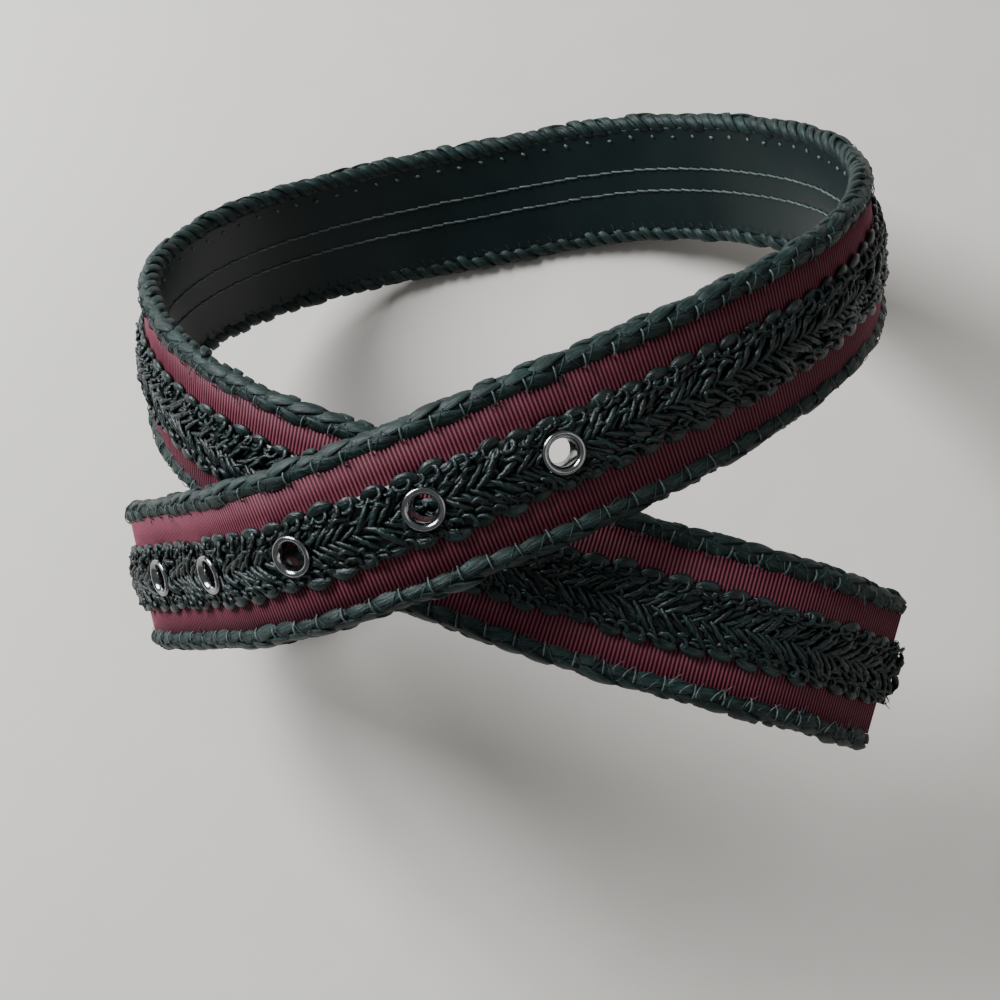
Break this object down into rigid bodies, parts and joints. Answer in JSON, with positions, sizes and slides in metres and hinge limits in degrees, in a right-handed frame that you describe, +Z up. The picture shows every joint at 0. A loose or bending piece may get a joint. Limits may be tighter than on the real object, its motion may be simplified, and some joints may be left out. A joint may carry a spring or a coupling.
{
  "type": "ribbon belt",
  "caption": "Leather belt faced with ribbon and a plaited centre braid, corded along both edges, with metal eyelets, coiled and standing on its lower edge.",
  "frame": {"origin": "middle of the coil's box, on the surface that it stands on", "axes": "+Z up, +X to the right and +Y to the back as seen from the side where the strands cross"},
  "size_m": [0.1764, 0.1684, 0.123],
  "materials": {
    "leather": "smooth, near black, semi-gloss",
    "grosgrain": "burgundy ribbed ribbon, soft sheen",
    "braid_cord": "near black glossy twisted cord, plaited",
    "edging_cord": "near black glossy cord, wrapped aslant",
    "eyelet_metal": "dark polished nickel"
  },
  "bodies": {
    "root": {"strap": "leather", "ribbon": "grosgrain", "centre_braid": "braid_cord", "edge_upper": "edging_cord", "edge_lower": "edging_cord", "eyelet_1": "eyelet_metal", "eyelet_2": "eyelet_metal", "eyelet_3": "eyelet_metal", "eyelet_4": "eyelet_metal", "eyelet_5": "eyelet_metal"}
  },
  "joints": []
}
